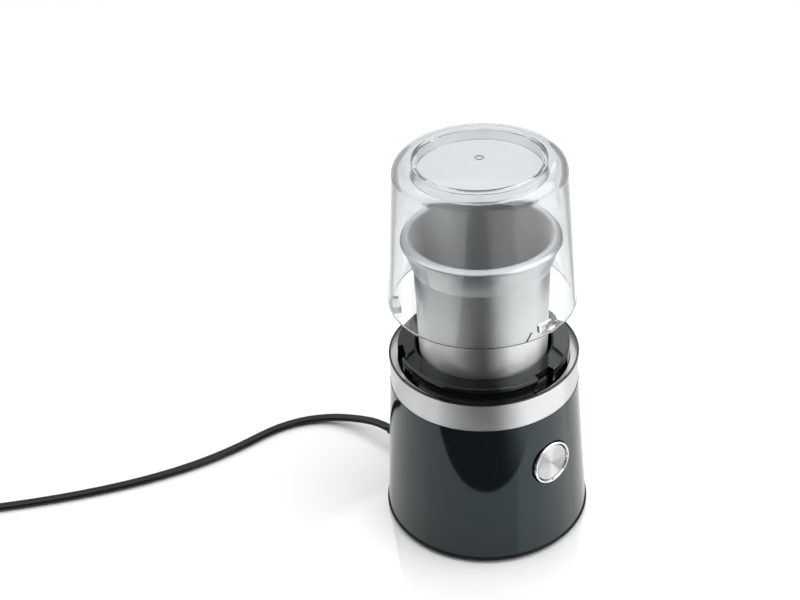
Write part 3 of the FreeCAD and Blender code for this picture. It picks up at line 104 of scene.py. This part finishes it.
# Studio, in places from the object's axis: to the camera's right, away from it, and up
object_bearing = 4.03    # from the camera's heading to the object
floor_half = 6.0
floor_drop = 0.0001
floor_white = (0.85, 0.85, 0.85)
# The front card is painted shade: dark reflections in the glossy faces, from a card that the camera never
# sees
front_card_corners = [(-0.155, -2.5), (0.15, -2.5), (0.15, -0.12), (-0.155, -0.12)]
front_card_height = 0.002
front_card_fade = (0.035, 0.14)    # to the right
front_card_shade_grey = (0.05, 0.052, 0.055)
# The side cards are painted shade: grey that only the clear lid shows, darkening its edges
side_card_right = 0.15
side_card_away = (0.03, 0.5)
side_card_height = 0.4
side_card_shade_grey = (0.3, 0.307, 0.312)
sky_way = (0.0, 0.8, 0.6)
sky_range = (-0.5, 0.95)
sky_strength = (0.1, 0.85)
sky_colour = (0.97, 0.99, 1.0, 1.0)
soft_lights = [
    # name, place, what it looks at, width and height, power
    ("key", (0.75, -0.25, 0.6), (0.1, -0.05, 0.05), (1.2, 1.0), 9.5),
    ("fill", (-0.85, 0.15, 0.65), (-0.05, 0.0, 0.05), (0.9, 0.9), 2.0),
    ("top", (0.0, 0.6, 1.6), (0.0, 0.6, 0.0), (3.6, 2.2), 27.5),
]


def add_object(name, data):
    thing = bpy.data.objects.new(name, data)
    bpy.context.scene.collection.objects.link(thing)
    return thing


def object_from(name, build, smooth=False):
    """The object that a bmesh gives. The bmesh is freed."""
    for face in build.faces:
        face.smooth = smooth
    mesh = bpy.data.meshes.new(name)
    build.to_mesh(mesh)
    build.free()
    return add_object(name, mesh)


def skin_rows(build, rows):
    """Closes rings of vertices into one skin, with a face at each end."""
    count = len(rows[0])
    for row, following in zip(rows, rows[1:]):
        for index in range(count):
            other = (index + 1) % count
            build.faces.new((row[index], row[other], following[other], following[index]))
    build.faces.new(rows[0][::-1])
    build.faces.new(rows[-1])
    bmesh.ops.recalc_face_normals(build, faces=build.faces)


def place_camera():
    data = bpy.data.cameras.new("camera")
    data.lens = camera_lens
    data.sensor_width = camera_sensor
    data.clip_start, data.clip_end = camera_range
    camera = add_object("camera", data)
    turn = Matrix.Rotation(math.radians(camera_turn), 4, "Z")
    look = Matrix.Rotation(math.radians(90.0 - camera_down), 4, "X")
    roll = Matrix.Rotation(math.radians(camera_roll), 4, "Z")
    camera.matrix_world = Matrix.Translation(camera_place) @ turn @ look @ roll
    bpy.context.scene.camera = camera


def coil_points():
    """The coil's turns: in towards the middle on the floor, and out again on top of them."""
    corner = Vector(cord_corners[-1])
    entry = Vector(coil_entry)
    way = entry - corner
    rate = coil_pitch / (2 * math.pi)
    lean = math.atan(rate / coil_outer_r)
    first = math.atan2(way.y, way.x) - math.pi / 2 - lean
    last = math.pi + lean
    while last - first < 2 * math.pi * coil_turns:
        last += 2 * math.pi
    half = (last - first) / 2
    middle = (first + last) / 2
    middle_r = coil_outer_r - rate * (math.hypot(half, coil_softness) - coil_softness)
    centre_x = entry.x - coil_outer_r * math.cos(first)
    centre_y = entry.y - coil_outer_r * math.sin(first)
    count = round((last - first) / (2 * math.pi) * points_per_turn)
    points = []
    for index in range(count + 1):
        angle = first + (last - first) * index / count
        radius = middle_r + rate * (math.hypot(angle - middle, coil_softness) - coil_softness)
        share = min(max((angle - middle) / math.pi + 0.5, 0.0), 1.0)
        rise = share - math.sin(2 * math.pi * share) / (2 * math.pi)
        x = centre_x + radius * math.cos(angle)
        y = centre_y + radius * math.sin(angle)
        points.append((x, y, cord_rest + coil_layer * rise))
    x, y, z = points[-1]
    step = (plug_middle - z) / 2
    points.append((x, y - tail_length / 2, z + step))
    points.append((x, y - tail_length, plug_middle))
    points.append((x, y - tail_length - cord_width, plug_middle))
    return points


def spline_points(points):
    """Points read from the NURBS spline that has these control points."""
    data = bpy.data.curves.new("cord_line", "CURVE")
    data.dimensions = "3D"
    data.resolution_u = 8
    spline = data.splines.new("NURBS")
    spline.points.add(len(points) - 1)
    for point, place in zip(spline.points, points):
        point.co = (place[0] * mm, place[1] * mm, place[2] * mm, 1.0)
    spline.order_u = 3
    spline.use_endpoint_u = True
    line = bpy.data.objects.new("cord_line", data)
    mesh = bpy.data.meshes.new_from_object(line)
    places = [vertex.co.copy() for vertex in mesh.vertices]
    bpy.data.objects.remove(line)
    bpy.data.meshes.remove(mesh)
    return places


def flat_ring(width, height, steps=7):
    """The section of the flat twin lead: two round cores with a slight valley between them."""
    half = (width - height) / 2
    radius = height / 2
    ring = []
    for side in (1, -1):
        for index in range(steps):
            angle = math.radians(180 * index / (steps - 1) - 90 * side)
            ring.append((side * half + radius * math.cos(angle), radius * math.sin(angle)))
        ring.append((0.0, side * radius * cord_valley))
    return ring


def make_cord():
    """The mains cord, as one flat tube along its spline from the sleeve through the coil to the plug."""
    path = spline_points([relief_end] + cord_corners + coil_points())
    ring = flat_ring(cord_width * mm, cord_height * mm)
    build = bmesh.new()
    rows = []
    for index, place in enumerate(path):
        before = path[max(index - 1, 0)]
        after = path[min(index + 1, len(path) - 1)]
        way = (after - before).normalized()
        across = Vector((0, 0, 1)).cross(way).normalized()
        up = way.cross(across)
        rows.append([build.verts.new(place + across * x + up * y) for x, y in ring])
    skin_rows(build, rows)
    lead = object_from("mains_cord", build, smooth=True)
    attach(lead, "base")
    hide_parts("cord", "cord_coil")
    return lead


def add_node(tree, kind, inputs=None, **settings):
    """A new node with its settings, and with values on inputs that nothing is linked to."""
    made = tree.nodes.new(kind)
    for key, value in settings.items():
        setattr(made, key, value)
    for key, value in (inputs or {}).items():
        made.inputs[key].default_value = value
    return made


def surface(name, colour, roughness, metallic=0.0, **sockets):
    """A new material with its main shader's own sockets set. Returns it with its tree and shader."""
    material = bpy.data.materials.new(name)
    material.use_nodes = True
    tree = material.node_tree
    shader = tree.nodes["Principled BSDF"]
    shader.inputs["Base Color"].default_value = (*colour, 1.0)
    shader.inputs["Roughness"].default_value = roughness
    shader.inputs["Metallic"].default_value = metallic
    for key, value in sockets.items():
        shader.inputs[key.replace("_", " ")].default_value = value
    return material, tree, shader


def object_place(tree):
    return add_node(tree, "ShaderNodeTexCoord").outputs["Object"]


def turned_place(tree, scale, centre, tilt):
    """Coordinates that change across circles about an axis and along it, as tool marks on a lathe do."""
    shift = add_node(tree, "ShaderNodeVectorMath", {1: centre}, operation="SUBTRACT")
    turn = add_node(tree, "ShaderNodeVectorRotate", {"Angle": tilt}, rotation_type="X_AXIS")
    split = add_node(tree, "ShaderNodeSeparateXYZ")
    flat = add_node(tree, "ShaderNodeCombineXYZ")
    reach = add_node(tree, "ShaderNodeVectorMath", operation="LENGTH")
    wide = add_node(tree, "ShaderNodeMath", {1: scale}, operation="MULTIPLY")
    high = add_node(tree, "ShaderNodeMath", {1: scale}, operation="MULTIPLY")
    joined = add_node(tree, "ShaderNodeCombineXYZ")
    link = tree.links.new
    link(object_place(tree), shift.inputs[0])
    link(shift.outputs[0], turn.inputs["Vector"])
    link(turn.outputs[0], split.inputs[0])
    link(split.outputs["X"], flat.inputs["X"])
    link(split.outputs["Y"], flat.inputs["Y"])
    link(flat.outputs[0], reach.inputs[0])
    link(reach.outputs["Value"], wide.inputs[0])
    link(split.outputs["Z"], high.inputs[0])
    link(wide.outputs[0], joined.inputs["X"])
    link(high.outputs[0], joined.inputs["Y"])
    return joined.outputs[0]


def noise(tree, place, scale, detail=2.0):
    made = add_node(tree, "ShaderNodeTexNoise", {"Scale": scale, "Detail": detail})
    tree.links.new(place, made.inputs["Vector"])
    return made.outputs["Fac"]


def bands(tree, scale, distortion=0.0):
    """Bands stacked along Z."""
    inputs = {"Scale": scale, "Distortion": distortion}
    made = add_node(tree, "ShaderNodeTexWave", inputs, bands_direction="Z")
    tree.links.new(object_place(tree), made.inputs["Vector"])
    return made.outputs["Fac"]


def map_range(tree, value, start, end, socket):
    """Feeds a value into a socket, with the range start mapped to the range end."""
    inputs = {"From Min": start[0], "From Max": start[1], "To Min": end[0], "To Max": end[1]}
    made = add_node(tree, "ShaderNodeMapRange", inputs)
    tree.links.new(value, made.inputs["Value"])
    tree.links.new(made.outputs["Result"], socket)
    return made


def spread(tree, value, low, high, socket):
    """Feeds a noise into a socket, as values from low to high."""
    map_range(tree, value, (noise_low, noise_high), (low, high), socket)


def two_tone(tree, value, dark, light, socket):
    ramp = add_node(tree, "ShaderNodeValToRGB")
    for stop, position, colour in zip(ramp.color_ramp.elements, (noise_low, noise_high), (dark, light)):
        stop.position = position
        stop.color = (*colour, 1.0)
    tree.links.new(value, ramp.inputs["Fac"])
    tree.links.new(ramp.outputs["Color"], socket)


def shaded(tree, value, colour, darker, lighter, socket):
    """Varies a colour between a darker and a lighter shade of itself."""
    dark = tuple(channel * darker for channel in colour)
    light = tuple(min(channel * lighter, 1.0) for channel in colour)
    two_tone(tree, value, dark, light, socket)


def bumps(tree, shader, value, strength, distance):
    made = add_node(tree, "ShaderNodeBump", {"Strength": strength, "Distance": distance})
    tree.links.new(value, made.inputs["Height"])
    tree.links.new(made.outputs["Normal"], shader.inputs["Normal"])


def moulded(name, colour, roughness, wave=0.0, **sockets):
    """Moulded plastic with an uneven gloss, and with a fine grain or, on glossy walls, a slow wave."""
    material, tree, shader = surface(name, colour, roughness, **sockets)
    slow = noise(tree, object_place(tree), 38.0)
    spread(tree, slow, roughness * 0.85, roughness * 1.2, shader.inputs["Roughness"])
    shaded(tree, slow, colour, 0.9, 1.12, shader.inputs["Base Color"])
    if wave:
        bumps(tree, shader, slow, wave, 0.0004)
    else:
        grain = noise(tree, object_place(tree), 900.0, 3.0)
        bumps(tree, shader, grain, 0.12, 0.00006)
    return material


def turned_metal(
    name, colour, roughness, depth,
    fine=1.0, centre=(0.0, 0.0, 0.0), tilt=0.0, axis="Z", **sockets,
):
    """Metal with fine circular brush marks, which also vary its shade and gloss."""
    material, tree, shader = surface(name, colour, roughness, 1.0, **sockets)
    marks = noise(tree, turned_place(tree, brush_marks * fine, centre, tilt), 1.0, 4.0)
    shaded(tree, marks, colour, 0.95, 1.05, shader.inputs["Base Color"])
    spread(tree, marks, roughness * 0.92, roughness * 1.08, shader.inputs["Roughness"])
    bumps(tree, shader, marks, depth, 0.00002)
    tangent = add_node(tree, "ShaderNodeTangent", direction_type="RADIAL", axis=axis)
    shader.inputs["Anisotropic Rotation"].default_value = quarter_turn
    tree.links.new(tangent.outputs[0], shader.inputs["Tangent"])
    return material


def rougher_inside(material, inside, outside):
    """Sets a turned vessel's roughness by whether its face looks to the vessel's axis or away from it."""
    tree = material.node_tree
    shader = tree.nodes["Principled BSDF"]
    flat = add_node(tree, "ShaderNodeVectorMath", {1: (1.0, 1.0, 0.0)}, operation="MULTIPLY")
    face = add_node(tree, "ShaderNodeNewGeometry")
    facing = add_node(tree, "ShaderNodeVectorMath", operation="DOT_PRODUCT")
    link = tree.links.new
    link(object_place(tree), flat.inputs[0])
    link(flat.outputs[0], facing.inputs[0])
    link(face.outputs["True Normal"], facing.inputs[1])
    blend = (-facing_blend, facing_blend)
    map_range(tree, facing.outputs["Value"], blend, (inside, outside), shader.inputs["Roughness"])


def plain_metal(name, colour, roughness, grain=700.0, depth=0.1):
    material, tree, shader = surface(name, colour, roughness, 1.0)
    marks = noise(tree, object_place(tree), grain, 3.0)
    shaded(tree, marks, colour, 0.88, 1.1, shader.inputs["Base Color"])
    spread(tree, marks, roughness * 0.8, roughness * 1.25, shader.inputs["Roughness"])
    bumps(tree, shader, marks, depth, 0.00003)
    return material


def clear_plastic():
    """Clear moulded plastic, with faint polish marks in its gloss."""
    colour = (0.82, 0.835, 0.84)
    material, tree, shader = surface("clear_lid", colour, 0.012, Transmission_Weight=1.0, IOR=1.49)
    slow = noise(tree, object_place(tree), 60.0)
    spread(tree, slow, 0.006, 0.03, shader.inputs["Roughness"])
    return material


def wound_wire():
    """Enamelled wire in close layers."""
    material, tree, shader = surface("copper_wire", (0.62, 0.27, 0.1), 0.32, 0.85)
    wires = bands(tree, 260.0, 1.4)
    two_tone(tree, wires, (0.34, 0.12, 0.045), (0.78, 0.4, 0.17), shader.inputs["Base Color"])
    bumps(tree, shader, wires, 0.5, 0.0003)
    return material


def sheet_stack():
    """Stacked sheet iron, with the sheets' edges across the axis."""
    material, tree, shader = surface("lamination_iron", (0.22, 0.22, 0.23), 0.45, 0.9)
    sheets = bands(tree, 320.0)
    two_tone(tree, sheets, (0.12, 0.12, 0.125), (0.34, 0.34, 0.35), shader.inputs["Base Color"])
    bumps(tree, shader, sheets, 0.4, 0.0001)
    return material


def paint(material, *names):
    for name in names:
        data = nodes[name].data
        data.materials.clear()
        data.materials.append(material)


def dress_plastics():
    """Gives the plastic and rubber nodes their materials. Returns the cord's."""
    housing_tint = (0.8, 0.97, 1.0, 1.0)
    deck_tint = (0.88, 0.98, 1.0, 1.0)
    housing = moulded("housing_plastic", (0.004, 0.0065, 0.007), 0.06, 0.01, Specular_Tint=housing_tint)
    base = moulded("base_plastic", (0.003, 0.0035, 0.004), 0.4, Specular_IOR_Level=0.2)
    deck = moulded("deck_plastic", (0.003, 0.0038, 0.004), 0.07, 0.01, Specular_Tint=deck_tint)
    inner = moulded("inner_plastic", (0.05, 0.05, 0.055), 0.5)
    switch = moulded("switch_plastic", (0.22, 0.035, 0.025), 0.45)
    rubber = moulded("rubber", (0.018, 0.018, 0.018), 0.7)
    coupling = moulded("coupling_plastic", (0.02, 0.02, 0.022), 0.4)
    lead = moulded("cord_plastic", (0.004, 0.004, 0.0045), 0.25, Specular_IOR_Level=0.3)
    plug = moulded("plug_plastic", (0.012, 0.012, 0.013), 0.42)
    carbon = moulded("carbon", (0.01, 0.01, 0.011), 0.6)
    paint(housing, "housing")
    paint(base, "bottom_plate")
    paint(deck, "deck", "rim_trim", "interlock_ring", "cup_foot")
    paint(inner, "ring_retainer", "interlock_plunger", "button_plunger", "switch_carrier")
    paint(inner, "lower_bracket", "cooling_fan", "cord_clamp")
    paint(switch, "interlock_switch", "push_switch", "switch_actuator")
    paint(rubber, "rubber_feet", "shaft_seal", "motor_grommets")
    paint(coupling, "drive_coupling", "driven_coupling")
    paint(lead, "cord_relief", "inner_cord")
    paint(plug, "plug_body", "pin_sleeves")
    paint(carbon, "carbon_brushes")
    paint(clear_plastic(), "lid")
    return lead


def dress_metals():
    band = turned_metal("band_steel", (0.58, 0.59, 0.59), 0.3, 0.15, 1.4, Anisotropic=0.95)
    cup = turned_metal("cup_steel", (0.7, 0.71, 0.71), 0.4, 0.15, Anisotropic=0.94)
    rougher_inside(cup, 0.6, 0.4)
    collar = turned_metal("collar_steel", (0.72, 0.73, 0.73), 0.3, 0.2, Anisotropic=0.85)
    cap = turned_metal(
        "button_steel", (0.58, 0.59, 0.59), 0.45, 0.2, 1.3, button_centre,
        math.radians(-90) + button_tilt, "Y", Anisotropic=0.95,
    )
    chrome = plain_metal("polished_chrome", (0.8, 0.81, 0.82), 0.07, 300.0, 0.02)
    zinc = plain_metal("zinc_screw", (0.6, 0.61, 0.62), 0.32)
    ground = plain_metal("ground_steel", (0.62, 0.62, 0.63), 0.25)
    blade = plain_metal("blade_steel", (0.7, 0.7, 0.71), 0.22, 420.0, 0.12)
    bronze = plain_metal("bearing_bronze", (0.55, 0.36, 0.16), 0.4, 1500.0)
    cast = plain_metal("bracket_aluminium", (0.5, 0.51, 0.53), 0.5, 500.0, 0.4)
    spring = plain_metal("spring_steel", (0.5, 0.5, 0.52), 0.3)
    pins = plain_metal("pin_nickel", (0.7, 0.68, 0.63), 0.2)
    paint(band, "steel_band")
    paint(cup, "cup")
    paint(collar, "cup_collar")
    paint(cap, "button_cap")
    paint(chrome, "button_bezel")
    paint(zinc, "bottom_screws", "deck_screws", "mount_screws", "motor_bolts", "clamp_screws")
    paint(ground, "blade_spindle", "motor_shaft", "blade_nut")
    paint(blade, "blade")
    paint(bronze, "cup_bush", "upper_bearing", "lower_bearing", "brush_holders", "commutator")
    paint(cast, "upper_bracket")
    paint(spring, "button_spring")
    paint(pins, "plug_pins")
    paint(wound_wire(), "field_coils", "armature_windings")
    paint(sheet_stack(), "stator_core", "armature_core")


def make_mark():
    """The thin printed bar on the lid's side, which leans from its low end to its high end."""
    build = bmesh.new()
    rows = []
    slope = (lid_rim_r - lid_shoulder_r) / lid_side_height
    for index in range(mark_steps + 1):
        share = index / mark_steps
        angle = math.radians(mark_low[0] + (mark_high[0] - mark_low[0]) * share)
        height = mark_low[1] + (mark_high[1] - mark_low[1]) * share
        radius = lid_rim_r - slope * height
        side = mark_half_width / radius
        row = []
        for offset, lift in ((-side, 1), (side, 1), (side, -1), (-side, -1)):
            reach = radius + mark_proud * lift
            x = reach * math.cos(angle + offset)
            y = reach * math.sin(angle + offset)
            row.append(build.verts.new((x, y, lid_low + height)))
        rows.append(row)
    skin_rows(build, rows)
    mark = object_from("lid_mark", build)
    mark.data.materials.append(moulded("lid_ink", (0.015, 0.015, 0.016), 0.4))
    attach(mark, "lid")


def studio(right, away, height):
    """A place in the studio, from the object's axis to the camera's right and away from the camera."""
    turn = math.radians(camera_turn - object_bearing)
    x = right * math.cos(turn) - away * math.sin(turn)
    y = right * math.sin(turn) + away * math.cos(turn)
    return Vector((x, y, height))


def make_floor():
    build = bmesh.new()
    bmesh.ops.create_grid(build, x_segments=1, y_segments=1, size=floor_half)
    floor = object_from("floor", build)
    floor.location.z = -floor_drop
    material, tree, shader = surface("floor", floor_white, 0.06, IOR=1.8)
    slow = noise(tree, object_place(tree), 3.0, 1.0)
    spread(tree, slow, 0.04, 0.06, shader.inputs["Roughness"])
    floor.data.materials.append(material)


def card_object(name, corners, grey, glossy=True):
    """A flat card of the studio that the camera doesn't see and that throws no shadow.

    Returns its material's tree and shader.
    """
    build = bmesh.new()
    build.faces.new([build.verts.new(corner) for corner in corners])
    card = object_from(name, build)
    material, tree, shader = surface(name, grey, 1.0, Specular_IOR_Level=0.0)
    card.data.materials.append(material)
    card.visible_camera = False
    card.visible_diffuse = False
    card.visible_glossy = glossy
    card.visible_shadow = False
    return tree, shader


def make_front_card():
    """A dark card flat on the table before the object, which only glossy faces mirror: painted shade in
    their reflections.

    It fades out to its right, and from below it is clear.
    """
    corners = [studio(right, away, front_card_height) for right, away in front_card_corners]
    tree, shader = card_object("front_card", corners, front_card_shade_grey)
    across = add_node(tree, "ShaderNodeVectorMath", {1: studio(1.0, 0.0, 0.0)}, operation="DOT_PRODUCT")
    either = add_node(tree, "ShaderNodeMath", operation="MAXIMUM")
    side = add_node(tree, "ShaderNodeNewGeometry")
    clear = add_node(tree, "ShaderNodeBsdfTransparent")
    mix = add_node(tree, "ShaderNodeMixShader")
    link = tree.links.new
    link(object_place(tree), across.inputs[0])
    soft = map_range(tree, across.outputs["Value"], front_card_fade, (0.0, 1.0), either.inputs[0])
    soft.interpolation_type = "SMOOTHSTEP"
    link(side.outputs["Backfacing"], either.inputs[1])
    link(either.outputs[0], mix.inputs["Fac"])
    link(shader.outputs[0], mix.inputs[1])
    link(clear.outputs[0], mix.inputs[2])
    link(mix.outputs[0], tree.nodes["Material Output"].inputs["Surface"])


def make_side_card(name, right):
    """An upright grey card beside the object, which is seen only through the clear lid: painted shade
    along the lid's edges.
    """
    near, far = side_card_away
    outline = [(near, 0.0), (far, 0.0), (far, side_card_height), (near, side_card_height)]
    corners = [studio(right, away, height) for away, height in outline]
    card_object(name, corners, side_card_shade_grey, glossy=False)


def soft_light(name, place, target, size, power):
    data = bpy.data.lights.new(name, "AREA")
    data.shape = "RECTANGLE"
    data.size, data.size_y = size
    data.energy = power
    lamp = add_object(name, data)
    lamp.location = place
    lamp.rotation_euler = (target - place).to_track_quat("-Z", "Y").to_euler()


def light_studio():
    """A sky that is brighter behind and over the object, and the soft lights."""
    world = bpy.data.worlds.new("studio")
    bpy.context.scene.world = world
    world.use_nodes = True
    tree = world.node_tree
    background = tree.nodes["Background"]
    background.inputs["Color"].default_value = sky_colour
    place = add_node(tree, "ShaderNodeTexCoord")
    back = add_node(tree, "ShaderNodeVectorMath", {1: studio(*sky_way)}, operation="DOT_PRODUCT")
    tree.links.new(place.outputs["Generated"], back.inputs[0])
    map_range(tree, back.outputs["Value"], sky_range, sky_strength, background.inputs["Strength"])
    for name, light_place, target, size, power in soft_lights:
        soft_light(name, studio(*light_place), studio(*target), size, power)
    view = bpy.context.scene.view_settings
    view.view_transform = "Standard"
    view.look = "None"
    view.exposure = 0.0


place_camera()
mains_cord = make_cord()
cord_coat = dress_plastics()
dress_metals()
mains_cord.data.materials.append(cord_coat)
make_mark()
make_floor()
make_front_card()
make_side_card("left_card", -side_card_right)
make_side_card("right_card", side_card_right)
light_studio()
